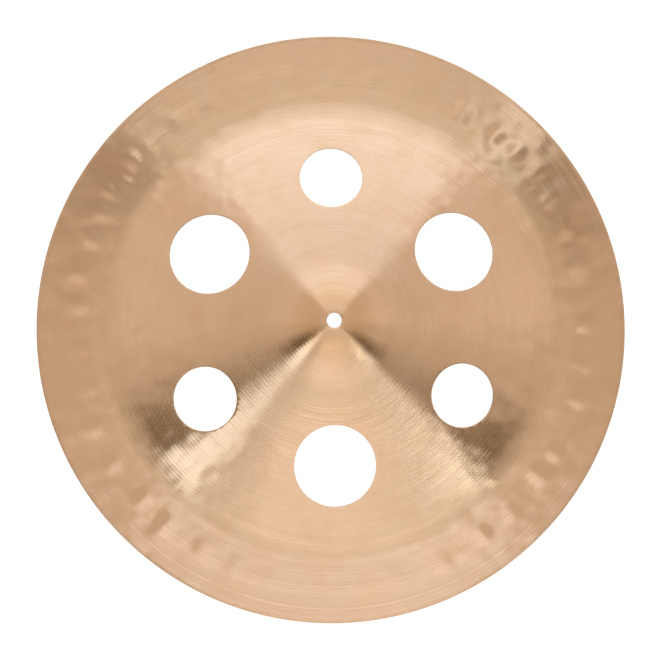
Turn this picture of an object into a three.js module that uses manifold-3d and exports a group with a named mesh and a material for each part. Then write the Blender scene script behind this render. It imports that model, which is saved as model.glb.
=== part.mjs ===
// China cymbal with six cut-outs: one thin shell of cast bronze, hammered, turned and lathed.
// Millimetres, +Z up. The origin is on the axis, in the plane that the underside rests on.
// From the centre outwards the shell is a flat land, a bell, a bow that falls away, a bend
// that turns the metal back up, and a flange that rises to the rim.

import * as THREE from 'three';
import { mergeVertices } from 'three/addons/utils/BufferGeometryUtils.js';
import Module from 'manifold-3d';

// Diameters on the top face, from the rim inwards
const rimDiameter = 457.2;
const hammerDiameter = 396;
const bendDiameter = 347;
const bowDiameter = 224;
const bellDiameter = 81;
const shoulderDiameter = 41;
const landDiameter = 24.8;
const mountHoleDiameter = 11.4;

// Heights of the outline's corners over the corner of the bend
const rimHeight = 14.2;
const hammerHeight = 5.8;
const bowHeight = 20;
const bellFootHeight = 30.6;
const bellHeight = 13;
const crownHeight = bellFootHeight + bellHeight;

// How far each corner is rounded, along both of its sides
const hammerReach = 10;
const bendReach = 10;
const bowReach = 44;
const bellFootReach = 10;
const shoulderReach = (shoulderDiameter - landDiameter) / 2;

// Sheet, even across the land and then thinned steadily to the rim
const crownThickness = 1.25;
const rimThickness = 0.8;

// Cut-outs, big and small by turns, on two circles round the axis
const bigCutDiameter = 62.8;
const smallCutDiameter = 49.2;
const bigCutCircle = 220;
const smallCutCircle = 229.2;
const cutPairs = 3;
const firstBigCutDegrees = 30;
const cutOverrun = 5;

// Hammer blows that set the flange, side by side on the hammer circle
const blowCount = 40;
const blowLength = 19;
const blowWidth = 16;
const blowDepth = 0.55;
const blowDepthShares = [1, 0.6, 0.85, 0.5, 0.95, 0.7, 0.9, 0.55];

// Facets of the round forms
const segmentsPerBlow = 3;
const shellSegments = blowCount * segmentsPerBlow;
const cutSegments = 48;

const bronze = new THREE.MeshStandardMaterial({
  name: 'lathed bronze',
  color: 0xcda37c,
  roughness: 0.34,
  metalness: 1,
});

const wasm = await Module();
wasm.setup();

function solidOf(geometry) {
  const bare = geometry.clone();
  bare.deleteAttribute('normal');
  bare.deleteAttribute('uv');
  const merged = mergeVertices(bare);
  return new wasm.Manifold(new wasm.Mesh({
    numProp: 3,
    vertProperties: Float32Array.from(merged.attributes.position.array),
    triVerts: Uint32Array.from(merged.index.array),
  }));
}

function geometryOf(solid) {
  const mesh = solid.getMesh();
  const geometry = new THREE.BufferGeometry();
  geometry.setAttribute('position', new THREE.BufferAttribute(mesh.vertProperties, 3));
  geometry.setIndex(new THREE.BufferAttribute(mesh.triVerts, 1));
  return geometry.toNonIndexed();
}

// The outline's corners from the land to the flange: x is the radius, y the height
function outlineCorners() {
  return {
    start: new THREE.Vector2(mountHoleDiameter / 2, crownHeight),
    rounded: [
      { at: new THREE.Vector2(shoulderDiameter / 2, crownHeight), reach: shoulderReach, steps: 3 },
      { at: new THREE.Vector2(bellDiameter / 2, bellFootHeight), reach: bellFootReach, steps: 3 },
      { at: new THREE.Vector2(bowDiameter / 2, bowHeight), reach: bowReach, steps: 2 },
      { at: new THREE.Vector2(bendDiameter / 2, 0), reach: bendReach, steps: 4 },
      { at: new THREE.Vector2(hammerDiameter / 2, hammerHeight), reach: hammerReach, steps: 2 },
    ],
    end: new THREE.Vector2(rimDiameter / 2, rimHeight),
  };
}

function towards(from, to, distance) {
  return to.clone().sub(from).setLength(distance).add(from);
}

// Top face from the mounting hole to the rim: straight runs with a curve at each corner
function topOutline() {
  const { start, rounded, end } = outlineCorners();
  const points = [start];
  rounded.forEach(({ at, reach, steps }, i) => {
    const before = i > 0 ? rounded[i - 1].at : start;
    const after = i < rounded.length - 1 ? rounded[i + 1].at : end;
    const entry = towards(at, before, reach);
    const exit = towards(at, after, reach);
    points.push(...new THREE.QuadraticBezierCurve(entry, at, exit).getPoints(steps));
  });
  points.push(end);
  return points;
}

function thicknessAt(radius) {
  const way = THREE.MathUtils.inverseLerp(landDiameter / 2, rimDiameter / 2, radius);
  return THREE.MathUtils.lerp(crownThickness, rimThickness, Math.max(way, 0));
}

// Underside: each top point moved square to the sheet by the thickness there, but straight
// down at the mounting hole and at the rim, whose walls are upright
function undersideOf(top) {
  return top.map((point, i) => {
    const square = new THREE.Vector2(0, -1);
    if (i > 0 && i < top.length - 1) {
      const along = top[i + 1].clone().sub(top[i - 1]).normalize();
      square.set(along.y, -along.x);
    }
    return square.multiplyScalar(thicknessAt(point.x)).add(point);
  });
}

// Every blow presses an oval hollow into the flange, and both faces of the sheet move with it
function hammer(geometry) {
  const position = geometry.attributes.position;
  const pitch = 2 * Math.PI / blowCount;
  for (let i = 0; i < position.count; i += 1) {
    const radius = Math.hypot(position.getX(i), position.getY(i));
    const azimuth = Math.atan2(position.getY(i), position.getX(i));
    const blow = Math.round(azimuth / pitch);
    const around = (azimuth - blow * pitch) * radius / (blowWidth / 2);
    const across = (radius - hammerDiameter / 2) / (blowLength / 2);
    const fall = Math.max(1 - around * around - across * across, 0);
    const share = blowDepthShares[(blow + blowCount) % blowDepthShares.length];
    position.setZ(i, position.getZ(i) - blowDepth * share * fall * fall);
  }
}

// The uncut shell: the closed outline turned round the axis, then hammered
function turnedShell() {
  const top = topOutline();
  const underside = undersideOf(top);
  const restHeight = Math.min(...underside.map((point) => point.y));
  const outline = [...top.slice().reverse(), ...underside];
  outline.push(outline[0]);
  const lifted = outline.map((point) => new THREE.Vector2(point.x, point.y - restHeight));
  const shell = new THREE.LatheGeometry(lifted, shellSegments);
  shell.rotateX(Math.PI / 2);
  hammer(shell);
  return shell;
}

// A straight punch along the axis, longer than the shell is high
function punch(diameter, circle, degrees) {
  const height = crownHeight + 2 * cutOverrun;
  const cutter = new THREE.CylinderGeometry(diameter / 2, diameter / 2, height, cutSegments);
  cutter.rotateX(Math.PI / 2);
  cutter.translate(circle / 2, 0, height / 2 - cutOverrun);
  cutter.rotateZ(THREE.MathUtils.degToRad(degrees));
  return solidOf(cutter);
}

function makeCymbal() {
  let shell = solidOf(turnedShell());
  const pairDegrees = 360 / cutPairs;
  for (let pair = 0; pair < cutPairs; pair += 1) {
    const bigDegrees = firstBigCutDegrees + pair * pairDegrees;
    const smallDegrees = bigDegrees + pairDegrees / 2;
    shell = shell.subtract(punch(bigCutDiameter, bigCutCircle, bigDegrees));
    shell = shell.subtract(punch(smallCutDiameter, smallCutCircle, smallDegrees));
  }
  const mesh = new THREE.Mesh(geometryOf(shell), bronze);
  mesh.name = 'cymbal';
  return mesh;
}

const group = new THREE.Group();
group.add(makeCymbal());

export default group;
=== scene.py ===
import math
import random

import bpy
from mathutils import Matrix, Vector


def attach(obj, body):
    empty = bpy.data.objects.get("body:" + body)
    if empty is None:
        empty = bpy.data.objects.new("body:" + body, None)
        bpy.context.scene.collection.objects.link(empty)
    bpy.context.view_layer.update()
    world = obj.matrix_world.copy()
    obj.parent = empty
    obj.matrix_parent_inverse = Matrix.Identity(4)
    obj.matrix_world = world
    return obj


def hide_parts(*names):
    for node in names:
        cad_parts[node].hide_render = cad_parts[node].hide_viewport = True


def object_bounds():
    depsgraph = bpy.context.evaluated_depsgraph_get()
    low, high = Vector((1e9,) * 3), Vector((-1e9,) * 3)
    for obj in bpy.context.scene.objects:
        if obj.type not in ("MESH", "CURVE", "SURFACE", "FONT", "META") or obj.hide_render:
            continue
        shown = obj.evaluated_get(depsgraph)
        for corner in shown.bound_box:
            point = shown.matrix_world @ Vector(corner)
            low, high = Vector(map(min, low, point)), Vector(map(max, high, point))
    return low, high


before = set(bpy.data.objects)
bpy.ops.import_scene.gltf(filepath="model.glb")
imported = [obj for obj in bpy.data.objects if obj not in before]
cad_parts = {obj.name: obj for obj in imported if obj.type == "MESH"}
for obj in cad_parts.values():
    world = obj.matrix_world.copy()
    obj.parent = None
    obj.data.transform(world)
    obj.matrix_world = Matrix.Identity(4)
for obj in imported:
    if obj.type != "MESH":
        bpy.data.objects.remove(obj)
cadLow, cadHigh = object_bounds()
print("frame loaded, CAD box", tuple(cadLow), tuple(cadHigh))

mm = 0.001


# Camera: nearly straight above, five degrees off the axis, as the photograph was taken
cameraSizes = {
    "place": (-25.0 * mm, -65.5 * mm, 797.6 * mm),
    "aim": (-2.04 * mm, -5.1 * mm, 13.8 * mm),
    "rollDegrees": -0.805,
    "lens": 55.16,
    "sensor": 36,
    "clipStart": 10 * mm,
}


def makeCamera(sizes):
    place = Vector(sizes["place"])
    forward = (Vector(sizes["aim"]) - place).normalized()
    right = forward.cross(Vector((0, 1, 0))).normalized()
    turn = Matrix((right, right.cross(forward), -forward)).transposed()
    turn = turn @ Matrix.Rotation(math.radians(sizes["rollDegrees"]), 3, "Z")
    bpy.ops.object.camera_add(location=place, rotation=turn.to_euler())
    camera = bpy.context.object
    camera.data.lens = sizes["lens"]
    camera.data.sensor_width = sizes["sensor"]
    camera.data.clip_start = sizes["clipStart"]
    bpy.context.scene.camera = camera
    print("camera in place")


# Shell: the outline from the mounting hole to the rim, as corners (radius, height over the
# corner of the bend, how far the corner is rounded, arc steps, longest edge up to the next)
shell = {
    "rimRadius": cadHigh.x - 0.003 * mm,  # just inside the CAD box
    "crownHeight": cadHigh.z,
    "corners": [
        (5.7 * mm, 43.6 * mm, 0, 0, 4 * mm),
        (20.5 * mm, 42.6 * mm, 8.1 * mm, 8, 4 * mm),
        (40.5 * mm, 30.6 * mm, 10 * mm, 8, 5 * mm),
        (112 * mm, 20 * mm, 44 * mm, 28, 3.2 * mm),
        (173.5 * mm, 0, 10 * mm, 10, 2.2 * mm),
        (198 * mm, 5.8 * mm, 10 * mm, 9, 3.2 * mm),
        (228.59 * mm, 14.2 * mm, 0, 0, 0),
    ],
    "cornerReach": 0.1 * mm,  # a point this near a corner is that corner
    "halvings": 6,  # most times that an edge is cut in two
    "segments": 480,
    "seam": 0.01 * mm,  # points this near each other are one, where the turn closes
    "crownThickness": 1.25 * mm,
    "rimThickness": 0.8 * mm,
    "landRadius": 12.4 * mm,
    "rimOverhang": 0.02 * mm,  # what stands out farther, under the rim, is drawn back in
}


def selectVertices(mesh, wanted):
    for part in (mesh.edges, mesh.polygons):
        part.foreach_set("select", [False] * len(part))
    mesh.vertices.foreach_set("select", [wanted(v.co) for v in mesh.vertices])


def selectEdges(mesh, wanted):
    for part in (mesh.vertices, mesh.polygons):
        part.foreach_set("select", [False] * len(part))
    mesh.edges.foreach_set("select", [wanted(mesh, edge) for edge in mesh.edges])


def drawOutline(sizes):
    bpy.ops.object.select_all(action="DESELECT")
    corners = sizes["corners"]
    bpy.ops.mesh.primitive_circle_add(vertices=8, radius=mm, location=(0, 0, 0))
    piece = bpy.context.object
    bpy.ops.object.mode_set(mode="EDIT")
    bpy.ops.mesh.merge(type="CENTER")  # leaves one point, which is drawn out along the outline
    bpy.ops.mesh.select_all(action="SELECT")
    bpy.ops.transform.translate(value=(corners[0][0], 0, corners[0][1]))
    for before, after in zip(corners, corners[1:]):
        step = (after[0] - before[0], 0, after[1] - before[1])
        bpy.ops.mesh.extrude_region_move(TRANSFORM_OT_translate={"value": step})
    bpy.ops.object.mode_set(mode="OBJECT")
    return piece


def roundCorners(piece, sizes):
    for radius, height, reach, steps, _ in sizes["corners"][1:-1]:
        corner = Vector((radius, 0, height))
        selectVertices(piece.data, lambda co: (co - corner).length < sizes["cornerReach"])
        bpy.ops.object.mode_set(mode="EDIT")
        bpy.ops.mesh.bevel(offset=reach, segments=steps, affect="VERTICES", clamp_overlap=False)
        bpy.ops.object.mode_set(mode="OBJECT")


# The straight runs are cut finer, most where the hammer blows land
def cutRuns(piece, sizes):
    for before, after in zip(sizes["corners"], sizes["corners"][1:]):

        def tooLong(mesh, edge):
            a, b = (mesh.vertices[i].co for i in edge.vertices)
            return before[0] < (a.x + b.x) / 2 < after[0] and (a - b).length > before[4]

        for _ in range(sizes["halvings"]):
            selectEdges(piece.data, tooLong)
            bpy.ops.object.mode_set(mode="EDIT")
            bpy.ops.mesh.select_mode(type="EDGE")
            bpy.ops.mesh.subdivide(number_cuts=1)
            bpy.ops.object.mode_set(mode="OBJECT")


# Merging and cutting leave vertices and faces in an order that changes from run to run, and the
# next tool's result would follow it. So the mesh is written anew, sorted by place
def settle(piece):
    mesh = piece.data
    decimals = 7  # a tenth of a micrometre
    places = [tuple(v.co) for v in mesh.vertices]
    order = sorted(range(len(places)), key=lambda i: [round(c, decimals) for c in places[i]])
    rank = {old: new for new, old in enumerate(order)}
    faces = []
    for face in mesh.polygons:
        ring = [rank[i] for i in face.vertices]
        start = ring.index(min(ring))
        faces.append((ring[start:] + ring[:start], face.material_index))
    faces.sort()
    fresh = bpy.data.meshes.new("settled")
    fresh.from_pydata([places[i] for i in order], [], [ring for ring, _ in faces])
    fresh.polygons.foreach_set("material_index", [slot for _, slot in faces])
    for material in mesh.materials:
        fresh.materials.append(material)
    fresh.update()
    piece.data = fresh
    bpy.data.meshes.remove(mesh)
    fresh.name = piece.name


def spinShell(piece, sizes):
    bpy.ops.object.mode_set(mode="EDIT")
    bpy.ops.mesh.select_mode(type="VERT")
    bpy.ops.mesh.select_all(action="SELECT")
    bpy.ops.mesh.spin(
        steps=sizes["segments"], angle=math.tau, center=(0, 0, 0), axis=(0, 0, 1), use_auto_merge=True
    )
    bpy.ops.mesh.select_all(action="SELECT")
    bpy.ops.mesh.remove_doubles(threshold=sizes["seam"])
    bpy.ops.mesh.normals_make_consistent(inside=False)
    bpy.ops.object.mode_set(mode="OBJECT")
    if sum(face.normal.z for face in piece.data.polygons) < 0:
        bpy.ops.object.mode_set(mode="EDIT")
        bpy.ops.mesh.flip_normals()
        bpy.ops.object.mode_set(mode="OBJECT")
    lift = sizes["crownHeight"] - sizes["corners"][0][1]
    bpy.ops.transform.translate(value=(0, 0, lift))
    bpy.ops.object.transform_apply(location=True, rotation=True, scale=True)
    settle(piece)
    print("shell spun,", len(piece.data.polygons), "faces")


# Unevenness: the sheet was hammered all over and then lathed, so its slopes wander a little,
# not at all on the bell and most from the outer part of the bow to the rim
unevenness = {
    "size": 15 * mm,
    "octaves": 1,
    "depth": 0.42 * mm,
    "shares": [(45 * mm, 0), (95 * mm, 0.4), (140 * mm, 1)],
}


def shareAt(shares, radius):
    for before, after in zip(shares, shares[1:]):
        if radius < after[0]:
            way = (radius - before[0]) / (after[0] - before[0])
            return before[1] + (after[1] - before[1]) * max(way, 0)
    return shares[-1][1]


def ruffleShell(piece, sizes):
    group = piece.vertex_groups.new(name="uneven")
    for v in piece.data.vertices:
        group.add([v.index], shareAt(sizes["shares"], v.co.xy.length), "REPLACE")
    texture = bpy.data.textures.new("softBlows", "CLOUDS")
    texture.noise_scale = sizes["size"]
    texture.noise_depth = sizes["octaves"]
    modifier = piece.modifiers.new("uneven", "DISPLACE")
    modifier.texture = texture
    modifier.texture_coords = "LOCAL"
    modifier.direction = "Z"
    modifier.strength = sizes["depth"]
    modifier.vertex_group = "uneven"
    bpy.ops.object.modifier_apply(modifier="uneven")
    piece.vertex_groups.clear()
    bpy.data.textures.remove(texture)
    print("sheet ruffled")


# Hammer blows: a ring of shallow hollows side by side on the flange, no two alike. Each blow
# is an azimuth in degrees, counted from +X, and how deep the metal gave way, in mm
hammering = {
    "blows": [
        (13, 0.3), (22, 0.35), (29, 0.3), (36, 0.25), (42.5, 0.4), (48.5, 0.4), (57.5, 0.55),
        (70.5, 0.25), (80, 0.3), (87.5, 0.25), (99.5, 0.35), (107.5, 0.4), (118, 0.5), (124, 0.35),
        (127, 0.5), (136, 0.3), (139.5, 0.3), (145, 0.25), (148.5, 0.3), (153, 0.25), (159.5, 0.3),
        (168, 0.3), (175, 0.3), (185, 0.3), (194.5, 0.35), (202.5, 0.4), (211.5, 0.45), (222, 0.5),
        (229.5, 0.6), (239, 0.5), (247.5, 0.35), (256, 0.25), (265, 0.25), (274, 0.25), (282, 0.3),
        (294, 0.35), (304.5, 0.45), (313, 0.3), (323, 0.6), (329.5, 0.4), (342, 0.35), (350, 0.25),
        (359, 0.35),
    ],
    "radius": 201 * mm,
    "length": 4 * mm,
    "width": 1.5 * mm,
    "reach": (8.5 * mm, 11.5 * mm),
    "wander": 2 * mm,
    "seed": 8,
}


def hammerFlange(piece, sizes):
    chance = random.Random(sizes["seed"])
    for degrees, depth in sizes["blows"]:
        azimuth = math.radians(degrees)
        radius = sizes["radius"] + chance.uniform(-1, 1) * sizes["wander"]
        out = Vector((math.cos(azimuth), math.sin(azimuth), 0))
        side = Vector((-out.y, out.x, 0))
        reach = chance.uniform(*sizes["reach"])

        def struck(co):
            inWidth = abs(co.dot(side)) < sizes["width"]
            return inWidth and abs(co.dot(out) - radius) < sizes["length"] / 2

        selectVertices(piece.data, struck)
        bpy.ops.object.mode_set(mode="EDIT")
        bpy.ops.mesh.select_mode(type="VERT")
        bpy.ops.transform.translate(
            value=(0, 0, -depth * mm),
            use_proportional_edit=True,
            proportional_edit_falloff="SMOOTH",
            proportional_size=reach,
        )
        bpy.ops.object.mode_set(mode="OBJECT")
    print("flange hammered,", len(sizes["blows"]), "blows")


def thickenShell(piece, sizes):
    group = piece.vertex_groups.new(name="thick")
    span = sizes["rimRadius"] - sizes["landRadius"]
    for v in piece.data.vertices:
        way = max(v.co.xy.length - sizes["landRadius"], 0) / span
        group.add([v.index], 1 - way, "REPLACE")
    modifier = piece.modifiers.new("sheet", "SOLIDIFY")
    modifier.thickness = sizes["crownThickness"]
    modifier.offset = -1
    modifier.vertex_group = "thick"
    modifier.thickness_vertex_group = sizes["rimThickness"] / sizes["crownThickness"]
    bpy.ops.object.modifier_apply(modifier="sheet")
    piece.vertex_groups.clear()
    outside = sizes["rimRadius"] + sizes["rimOverhang"]
    selectVertices(piece.data, lambda co: co.xy.length > outside)  # lower edge of the rim
    reached = max(v.co.xy.length for v in piece.data.vertices)
    share = sizes["rimRadius"] / reached
    bpy.ops.object.mode_set(mode="EDIT")
    bpy.ops.mesh.select_mode(type="VERT")
    bpy.ops.transform.resize(value=(share, share, 1), center_override=(0, 0, 0))
    bpy.ops.object.mode_set(mode="OBJECT")
    print("sheet thickened")


# Cut-outs: big and small by turns, punched straight down
cuts = {
    "big": {"radius": 31.4 * mm, "circle": 110 * mm, "degrees": (30, 150, 270)},
    "small": {"radius": 24.6 * mm, "circle": 114.6 * mm, "degrees": (90, 210, 330)},
    "height": 120 * mm,
    "sides": 144,
}


def cutPlaces(sizes):
    for kind in ("big", "small"):
        cut = sizes[kind]
        for degrees in cut["degrees"]:
            azimuth = math.radians(degrees)
            place = (cut["circle"] * math.cos(azimuth), cut["circle"] * math.sin(azimuth), 0)
            yield place, cut["radius"]


def punchShell(piece, sizes):
    bpy.ops.object.select_all(action="DESELECT")
    punches = []
    for place, radius in cutPlaces(sizes):
        bpy.ops.mesh.primitive_cylinder_add(
            vertices=sizes["sides"], radius=radius, depth=sizes["height"], location=place
        )
        punches.append(bpy.context.object)
    for punch in punches:
        punch.select_set(True)
    bpy.ops.object.join()
    tool = bpy.context.object
    bpy.context.view_layer.objects.active = piece
    modifier = piece.modifiers.new("cut", "BOOLEAN")
    modifier.operation = "DIFFERENCE"
    modifier.solver = "EXACT"
    modifier.object = tool
    bpy.ops.object.modifier_apply(modifier="cut")
    bpy.data.objects.remove(tool)
    settle(piece)
    print("cut-outs punched,", len(piece.data.polygons), "faces")


# Edges: those of the rim, mounting hole and cut-outs are broken, the rim's a little less. A face
# is a wall where its normal rises less than wallNormal, and an edge is the rim's in its band
edges = {
    "round": 0.42 * mm,
    "rimShare": 0.75,
    "rimBand": 1 * mm,
    "steps": 2,
    "wallNormal": 0.4,
    "sharpDegrees": 50,
    "smoothDegrees": 30,
}


# Points along a cut-out that stand closer than the edge's round are merged, to leave it room
def clearCuts(piece, sizes):
    rings = [(Vector(place).xy, radius) for place, radius in cutPlaces(cuts)]

    def onCut(co):
        return any(abs((co.xy - centre).length - radius) < sizes["round"] for centre, radius in rings)

    selectVertices(piece.data, onCut)
    bpy.ops.object.mode_set(mode="EDIT")
    bpy.ops.mesh.select_mode(type="VERT")
    bpy.ops.mesh.remove_doubles(threshold=sizes["round"])
    bpy.ops.object.mode_set(mode="OBJECT")
    settle(piece)


def breakEdges(piece, sizes):
    bpy.ops.object.mode_set(mode="EDIT")
    bpy.ops.mesh.select_mode(type="EDGE")
    bpy.ops.mesh.select_all(action="DESELECT")
    bpy.ops.mesh.edges_select_sharp(sharpness=math.radians(sizes["sharpDegrees"]))
    bpy.ops.object.mode_set(mode="OBJECT")
    mesh = piece.data
    inRim = shell["rimRadius"] - sizes["rimBand"]
    weights = mesh.attributes.new("bevel_weight_edge", "FLOAT", "EDGE")
    for edge in mesh.edges:
        outer = mesh.vertices[edge.vertices[0]].co.xy.length > inRim
        weights.data[edge.index].value = edge.select * (sizes["rimShare"] if outer else 1)
    modifier = piece.modifiers.new("edges", "BEVEL")
    modifier.limit_method = "WEIGHT"
    modifier.width = sizes["round"]
    modifier.segments = sizes["steps"]
    # the broken edges take the second material, whose near-black colour is painted shade
    modifier.material = 1
    bpy.ops.object.modifier_apply(modifier="edges")
    settle(piece)
    triangles = sum(len(face.vertices) - 2 for face in piece.data.polygons)
    print("edges broken,", triangles, "triangles")


def makeCymbal():
    piece = drawOutline(shell)
    piece.name = "cymbalShell"
    roundCorners(piece, shell)
    cutRuns(piece, shell)
    spinShell(piece, shell)
    ruffleShell(piece, unevenness)
    hammerFlange(piece, hammering)
    thickenShell(piece, shell)
    punchShell(piece, cuts)
    bpy.ops.object.select_all(action="DESELECT")
    piece.select_set(True)
    bpy.context.view_layer.objects.active = piece
    piece.data.materials.clear()
    piece.data.materials.append(makeBronze(bronze))
    # the second material is painted shade: a near-black bronze for the walls and broken edges
    piece.data.materials.append(makeEdgeShadeBronze(edgeShadeBronze))
    for face in piece.data.polygons:  # walls of the cut-outs, of the mounting hole and the rim
        face.material_index = int(abs(face.normal.z) < edges["wallNormal"])
    clearCuts(piece, edges)
    breakEdges(piece, edges)
    bpy.ops.object.shade_smooth_by_angle(angle=math.radians(edges["smoothDegrees"]))
    return piece


def linear(hexColour):
    channels = [int(hexColour[i : i + 2], 16) / 255 for i in (0, 2, 4)]
    return [c / 12.92 if c <= 0.04045 else ((c + 0.055) / 1.055) ** 2.4 for c in channels] + [1]


def newTree(owner):
    owner.use_nodes = True
    owner.node_tree.nodes.clear()
    return owner.node_tree


# Inputs are numbers, or sockets of other nodes
def addNode(tree, kind, inputs=None, **settings):
    node = tree.nodes.new(kind)
    for name, value in settings.items():
        setattr(node, name, value)
    for name, value in (inputs or {}).items():
        if isinstance(value, bpy.types.NodeSocket):
            tree.links.new(value, node.inputs[name])
        else:
            node.inputs[name].default_value = value
    return node


def addMath(tree, operation, *inputs):
    return addNode(tree, "ShaderNodeMath", dict(enumerate(inputs)), operation=operation).outputs[0]


def addVector(tree, operation, *inputs):
    return addNode(tree, "ShaderNodeVectorMath", dict(enumerate(inputs)), operation=operation).outputs[0]


def addLength(tree, operation, *inputs):
    node = addNode(tree, "ShaderNodeVectorMath", dict(enumerate(inputs)), operation=operation)
    return node.outputs["Value"]


def addRange(tree, source, span, levels):
    inputs = {"From Min": span[0], "From Max": span[1], "To Min": levels[0], "To Max": levels[1]}
    return addNode(tree, "ShaderNodeMapRange", {"Value": source, **inputs}).outputs[0]


def addNoise(tree, inputs, **settings):
    return addNode(tree, "ShaderNodeTexNoise", inputs, **settings).outputs["Fac"]


def addBump(tree, inputs):
    return addNode(tree, "ShaderNodeBump", {"Strength": 1, **inputs}).outputs[0]


# A share of 0 gives the first colour, a share of 1 the second
def addMix(tree, share, first, second, **settings):
    inputs = {0: share, 6: first, 7: second}
    return addNode(tree, "ShaderNodeMix", inputs, data_type="RGBA", **settings).outputs[2]


def addRamp(tree, source, wanted):
    ramp = addNode(tree, "ShaderNodeValToRGB", {"Fac": source})
    stops = ramp.color_ramp.elements
    wanted = sorted(wanted, key=lambda stop: stop[0])
    while len(stops) > 1:
        stops.remove(stops[0])
    stops[0].position, stops[0].color = wanted[0]
    for position, colour in wanted[1:]:
        stops.new(position).color = colour
    return ramp.outputs["Color"]


# Noise: cloudy for stains and bands, plain for grooves and scrapes
cloudy = {"Detail": 3, "Roughness": 0.6}
plain = {"Detail": 2, "Roughness": 0.5}


# Bell bronze, lathed: fine turned grooves run round the axis, so the sheet mirrors the room as
# streaks that fan out from the centre. Its tints go by the radius
bronze = {
    "tints": [
        (6 * mm, "d8b495"),
        (15 * mm, "d3ab84"),
        (22 * mm, "d0a983"),
        (31 * mm, "d9b492"),
        (42 * mm, "d8b597"),
        (60 * mm, "d6b597"),
        (100 * mm, "dab799"),
        (140 * mm, "dbb99b"),
        (176 * mm, "dbb99a"),
        (206 * mm, "d1ae90"),
    ],
    "patchColour": "d2a985",
    "patchShare": 0.4,
    "patch": 28 * mm,
    "patchRange": (0.45, 0.7),
    "bandColour": "cfa886",
    "bandShare": 0.15,
    "band": 5 * mm,  # coarser than the real one, so that a picture shows it
    "bandRun": 70 * mm,
    "bandRange": (0.42, 0.68),
    "bandWear": 4.5,  # how much a band counts in the wear, against 1 for a turn of the tool
    "wearRange": (0.5, 4),
    "roughness": (0.11, 0.24),
    "wobble": 0.0105,  # how far the grooves swing sideways
    "bell": (25 * mm, 55 * mm),
    "bellBoost": 1.4,
    "flangeStart": (180 * mm, 195 * mm),
    "flangeWobble": 0.2,
    "flangeRough": 0.9,
    "anisotropy": 1,
    "turn": 2.5 * mm,  # real grooves are about 0.5 mm apart; coarser, so that a picture shows them
    "turnDepth": 0.008 * mm,
    "drift": 14 * mm,
    "driftTurns": 2,
    "fineGroove": 0.2 * mm,  # real ones about 0.1 mm
    "fineDepth": 0.045 * mm,
}


# Cloudy bands, short across the sheet and long round the axis
def bronzeBands(tree, sizes, place, radius):
    rung = addMath(tree, "DIVIDE", radius, sizes["band"])
    lifted = addNode(tree, "ShaderNodeCombineXYZ", {"Z": rung}).outputs[0]
    run = addVector(tree, "MULTIPLY", place, (1 / sizes["bandRun"], 1 / sizes["bandRun"], 0))
    return addNoise(tree, {"Vector": addVector(tree, "ADD", run, lifted), "Scale": 1, **cloudy})


# Turns of the tool, not quite evenly spaced
def bronzeRidges(tree, sizes, radius):
    inputs = {"W": radius, "Scale": 1 / sizes["drift"], **plain}
    drift = addNoise(tree, inputs, noise_dimensions="1D")
    turns = addMath(tree, "MULTIPLY", radius, math.tau / sizes["turn"])
    phase = addMath(tree, "MULTIPLY_ADD", drift, sizes["driftTurns"] * math.tau, turns)
    return addMath(tree, "SINE", phase)


def bronzeColour(tree, sizes, place, radius, bands, boost):
    tints = addRamp(tree, radius, [(reach, linear(colour)) for reach, colour in sizes["tints"]])
    patches = addNoise(tree, {"Vector": place, "Scale": 1 / sizes["patch"], **cloudy})
    patchShare = addRange(tree, patches, sizes["patchRange"], (0, sizes["patchShare"]))
    stained = addMix(tree, patchShare, tints, linear(sizes["patchColour"]))
    bandMost = addMath(tree, "MULTIPLY", boost, sizes["bandShare"])
    bandShare = addRange(tree, bands, sizes["bandRange"], (0, bandMost))
    return addMix(tree, bandShare, stained, linear(sizes["bandColour"]))


def bronzeRoughness(tree, sizes, radius, wear):
    uneven = addRange(tree, wear, sizes["wearRange"], sizes["roughness"])
    smoother = addRange(tree, radius, sizes["flangeStart"], (1, sizes["flangeRough"]))
    return addMath(tree, "MULTIPLY", uneven, smoother)


# The grooves' bump, and the normal swung sideways where the tool wandered
def bronzeNormal(tree, sizes, radius, across, ridges, wear, boost):
    inputs = {"W": radius, "Scale": 1 / sizes["fineGroove"], **plain}
    fineGrooves = addNoise(tree, inputs, noise_dimensions="1D")
    turned = addBump(tree, {"Distance": sizes["turnDepth"], "Height": ridges})
    finer = addBump(tree, {"Distance": sizes["fineDepth"], "Height": fineGrooves, "Normal": turned})
    around = addVector(tree, "CROSS_PRODUCT", across, (0, 0, 1))
    swing = addRange(tree, wear, sizes["wearRange"], (-sizes["wobble"], sizes["wobble"]))
    calm = addRange(tree, radius, sizes["flangeStart"], (1, sizes["flangeWobble"]))
    swingMost = addMath(tree, "MULTIPLY", swing, addMath(tree, "MULTIPLY", calm, boost))
    scaled = addNode(tree, "ShaderNodeVectorMath", {0: around, "Scale": swingMost}, operation="SCALE")
    return addVector(tree, "NORMALIZE", addVector(tree, "ADD", finer, scaled.outputs[0]))


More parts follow.
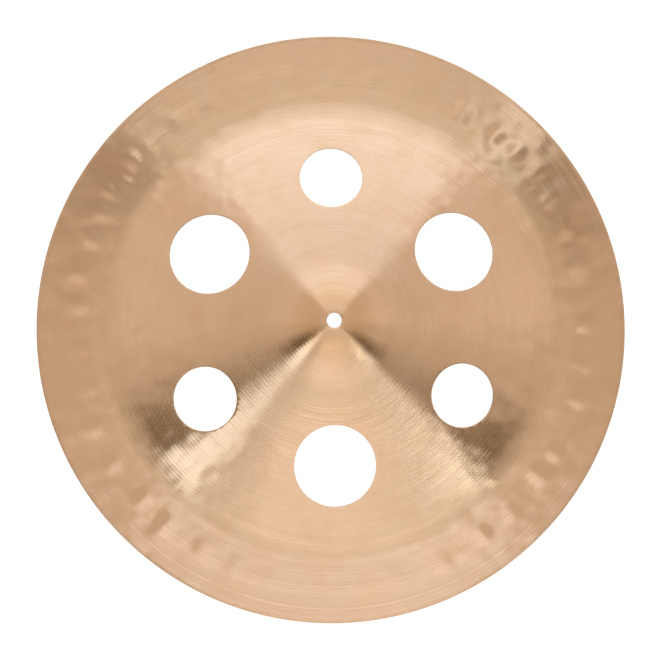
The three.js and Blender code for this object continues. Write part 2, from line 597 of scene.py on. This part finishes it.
def makeBronze(sizes):
    material = bpy.data.materials.new("latheTurnedBronze")
    tree = newTree(material)
    place = addNode(tree, "ShaderNodeTexCoord").outputs["Object"]
    flat = addVector(tree, "MULTIPLY", place, (1, 1, 0))
    radius = addLength(tree, "LENGTH", flat)
    across = addVector(tree, "NORMALIZE", flat)
    bands = bronzeBands(tree, sizes, place, radius)
    ridges = bronzeRidges(tree, sizes, radius)
    wear = addMath(tree, "MULTIPLY_ADD", bands, sizes["bandWear"], ridges)
    boost = addRange(tree, radius, sizes["bell"], (sizes["bellBoost"], 1))
    inputs = {
        "Metallic": 1,
        "Anisotropic": sizes["anisotropy"],
        "Base Color": bronzeColour(tree, sizes, place, radius, bands, boost),
        "Roughness": bronzeRoughness(tree, sizes, radius, wear),
        "Normal": bronzeNormal(tree, sizes, radius, across, ridges, wear, boost),
        "Tangent": across,  # rough across the grooves
    }
    shader = addNode(tree, "ShaderNodeBsdfPrincipled", inputs)
    addNode(tree, "ShaderNodeOutputMaterial", {"Surface": shader.outputs[0]})
    return material


# The same bronze on the walls and broken edges of the cut-outs, mounting hole and rim, dull; its near-black
# colour is painted shade, standing for the shade and dark reflection in the cut walls
edgeShadeBronze = {"colour": "2c2723", "roughness": 0.5, "scrape": 1.5 * mm, "scrapeDepth": 0.02 * mm}


def makeEdgeShadeBronze(sizes):
    material = bpy.data.materials.new("edgeBronzePaintedShade")
    tree = newTree(material)
    place = addNode(tree, "ShaderNodeTexCoord").outputs["Object"]
    scrapes = addNoise(tree, {"Vector": place, "Scale": 1 / sizes["scrape"], **plain})
    inputs = {
        "Metallic": 1,
        # near black: painted shade of the cut walls and edges
        "Base Color": linear(sizes["colour"]),
        "Roughness": sizes["roughness"],
        "Normal": addBump(tree, {"Distance": sizes["scrapeDepth"], "Height": scrapes}),
    }
    shader = addNode(tree, "ShaderNodeBsdfPrincipled", inputs)
    addNode(tree, "ShaderNodeOutputMaterial", {"Surface": shader.outputs[0]})
    return material


# Light: a dome of soft panels round an axis that leans a little away from the camera. Each panel
# starts at an azimuth in degrees, counted from +X, and holds its colour and strength up to its
# end; the tones between run into each other. The shares say, by the degrees from straight up,
# how much of the panels is seen instead of the middle tone. Low down the whole dome fades
dome = {
    "tiltDegrees": 2.9,
    "tiltTowards": 61,
    "panels": [
        (4, 16, "fff5f1", 1.36),
        (26, 45.5, "fff5f1", 1.27),
        (56, 121, "ebf3ff", 2.53),
        (130.5, 161.2, "fff6f2", 1.30),
        (184.8, 192.1, "fff4ed", 1.14),
        (205.8, 214.2, "ff8c20", 0.07),
        (218.2, 226.6, "e4f3ff", 3.30),
        (230.4, 236, "ffffff", 1.22),
        (245.4, 282, "fdfeff", 1.88),
        (290, 300.5, "fdfeff", 1.64),
        (304.6, 308.8, "fdfeff", 1.24),
        (311.2, 313.4, "ecf9ff", 5.00),
        (318.8, 327.4, "ff8c20", 0.08),
        (343.4, 354, "fff4ea", 1.03),
    ],
    "middle": ("fff1ce", 0.52),
    "shares": [(0, 0.35), (8, 0.1), (16, 0.64), (30, 0.33), (50, 0.65)],
    "spot": {"azimuth": 336, "polar": 17.5, "inner": 4, "outer": 11, "tone": ("fff4ea", 0.72)},
    "fadeDegrees": (40, 90),
    "fadeTo": 0.71,
}


def tone(colour, strength):
    return [channel * strength for channel in linear(colour)[:3]] + [1]


# The panels as stops of a ramp, whose middle is at azimuth 0
def panelStops(panels):
    stops = []
    for start, end, colour, strength in panels:
        for degrees in (start, end):
            stops.append(((degrees / 360 + 0.5) % 1, tone(colour, strength)))
    return stops


# A soft round spot: 1 inside its inner angle, 0 outside its outer one
def spotShare(tree, way, spot):
    polar, azimuth = math.radians(spot["polar"]), math.radians(spot["azimuth"])
    flat = math.sin(polar)
    centre = Vector((flat * math.cos(azimuth), flat * math.sin(azimuth), math.cos(polar)))
    nearness = addLength(tree, "DOT_PRODUCT", way, centre)
    span = [math.cos(math.radians(spot[limit])) for limit in ("outer", "inner")]
    return addRange(tree, nearness, span, (0, 1))


def addPolar(tree, way):
    height = addNode(tree, "ShaderNodeSeparateXYZ", {0: way}).outputs["Z"]
    return addMath(tree, "ARCCOSINE", height)


def makeDome(sizes):
    world = bpy.data.worlds.new("studio")
    bpy.context.scene.world = world
    tree = newTree(world)
    way = addNode(tree, "ShaderNodeTexCoord").outputs["Generated"]
    towards = math.radians(sizes["tiltTowards"])
    axis = (-math.sin(towards), math.cos(towards), 0)
    inputs = {"Vector": way, "Axis": axis, "Angle": -math.radians(sizes["tiltDegrees"])}
    turned = addNode(tree, "ShaderNodeVectorRotate", inputs, rotation_type="AXIS_ANGLE").outputs[0]
    azimuth = addNode(tree, "ShaderNodeTexGradient", {"Vector": turned}, gradient_type="RADIAL")
    panels = addRamp(tree, azimuth.outputs["Fac"], panelStops(sizes["panels"]))
    reach = addMath(tree, "DIVIDE", addPolar(tree, way), math.pi / 2)
    grey = [(degrees / 90, (level, level, level, 1)) for degrees, level in sizes["shares"]]
    light = addMix(tree, addRamp(tree, reach, grey), tone(*sizes["middle"]), panels)
    spot = sizes["spot"]
    light = addMix(tree, spotShare(tree, way, spot), light, tone(*spot["tone"]), blend_type="LIGHTEN")
    span = [math.radians(degrees) for degrees in sizes["fadeDegrees"]]
    fade = addRange(tree, addPolar(tree, turned), span, (1, sizes["fadeTo"]))
    studio = addNode(tree, "ShaderNodeBackground", {"Color": light, "Strength": fade}).outputs[0]
    white = addNode(tree, "ShaderNodeBackground", {"Color": (1, 1, 1, 1), "Strength": 1}).outputs[0]
    seen = addNode(tree, "ShaderNodeLightPath").outputs["Is Camera Ray"]
    mixed = addNode(tree, "ShaderNodeMixShader", {0: seen, 1: studio, 2: white}).outputs[0]
    addNode(tree, "ShaderNodeOutputWorld", {"Surface": mixed})
    print("light dome lit")


# Two soft boxes over the cymbal brighten its lower part: the bend and the flange below the bow.
# Places and sizes are in mm
boxes = [
    {"name": "nearBox", "place": (0, -226, 400), "aim": (-10, -174, 0), "size": (260, 60), "radiance": 0.6},
    {"name": "farBox", "place": (62, 222, 1200), "aim": (0, -200, 0), "size": (220, 70), "radiance": 0.65},
]


def makeBox(sizes):
    place, aim = (Vector(sizes[key]) * mm for key in ("place", "aim"))
    turn = (aim - place).to_track_quat("-Z", "Y")
    bpy.ops.object.light_add(type="AREA", location=place, rotation=turn.to_euler())
    light = bpy.context.object
    light.name = sizes["name"]
    light.data.shape = "RECTANGLE"
    light.data.size, light.data.size_y = (side * mm for side in sizes["size"])
    light.data.energy = sizes["radiance"] * math.pi * light.data.size * light.data.size_y
    print("soft box", light.name)


# Floor: a pale table that glows as a lit product table does, just under the cymbal; size in metres
floor = {"size": 8, "drop": 0.02 * mm, "colour": "6e6e6e", "roughness": 0.9, "glow": 0.97}


def makeFloor(sizes):
    bpy.ops.object.select_all(action="DESELECT")
    bpy.ops.mesh.primitive_plane_add(size=sizes["size"], location=(0, 0, -sizes["drop"]))
    piece = bpy.context.object
    piece.name = "table"
    material = bpy.data.materials.new("paleTable")
    tree = newTree(material)
    inputs = {
        "Base Color": linear(sizes["colour"]),
        "Roughness": sizes["roughness"],
        "Emission Color": (1, 1, 1, 1),
        "Emission Strength": sizes["glow"],
    }
    shader = addNode(tree, "ShaderNodeBsdfPrincipled", inputs)
    addNode(tree, "ShaderNodeOutputMaterial", {"Surface": shader.outputs[0]})
    piece.data.materials.append(material)


makeCamera(cameraSizes)
makeDome(dome)
for box in boxes:
    makeBox(box)
makeFloor(floor)
cymbal = makeCymbal()
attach(cymbal, "root")
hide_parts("cymbal")
bpy.context.scene.view_settings.view_transform = "Standard"
